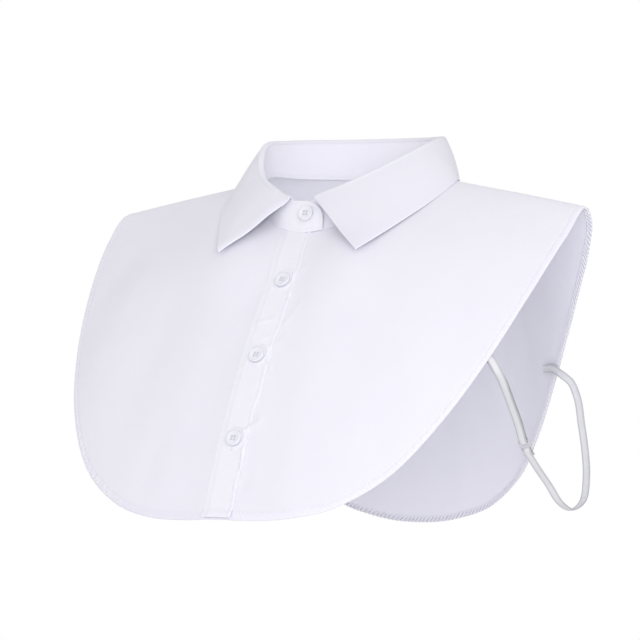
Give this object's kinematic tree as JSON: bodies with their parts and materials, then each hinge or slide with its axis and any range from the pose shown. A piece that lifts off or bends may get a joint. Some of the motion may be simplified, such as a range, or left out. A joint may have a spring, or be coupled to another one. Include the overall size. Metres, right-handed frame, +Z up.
{
  "type": "detachable shirt collar",
  "caption": "Hollow half shirt with a turned-down collar on a stand, a buttoned placket, two fronts, a back and an adjustable elastic at each side.",
  "frame": {"origin": "the middle of the neck opening, level with the neck seam at the sides of the front, where the wearer's neck holds the collar", "axes": "+X towards the wearer's left, along the shoulders; +Y towards the back; +Z up"},
  "size_m": [0.383, 0.2695, 0.2813],
  "materials": {
    "shirting": "fine plain-woven white cotton, matt, faintly blue",
    "collar_cloth": "the same white cotton, interfaced and pressed smooth",
    "button": "pearly white, softly glossy",
    "tape": "narrow white elastic tape with a satin sheen",
    "slider": "milky clear plastic"
  },
  "bodies": {
    "root": {"front_left": "shirting", "front_right": "shirting", "back": "shirting", "placket": "shirting", "collar_stand": "collar_cloth", "collar_leaf": "collar_cloth", "button_1": "button", "button_2": "button", "button_3": "button", "button_4": "button", "strap_short_left": "tape", "strap_short_right": "tape", "strap_elastic_left": "tape", "strap_elastic_right": "tape", "slider_left": "slider", "slider_right": "slider"}
  },
  "joints": []
}
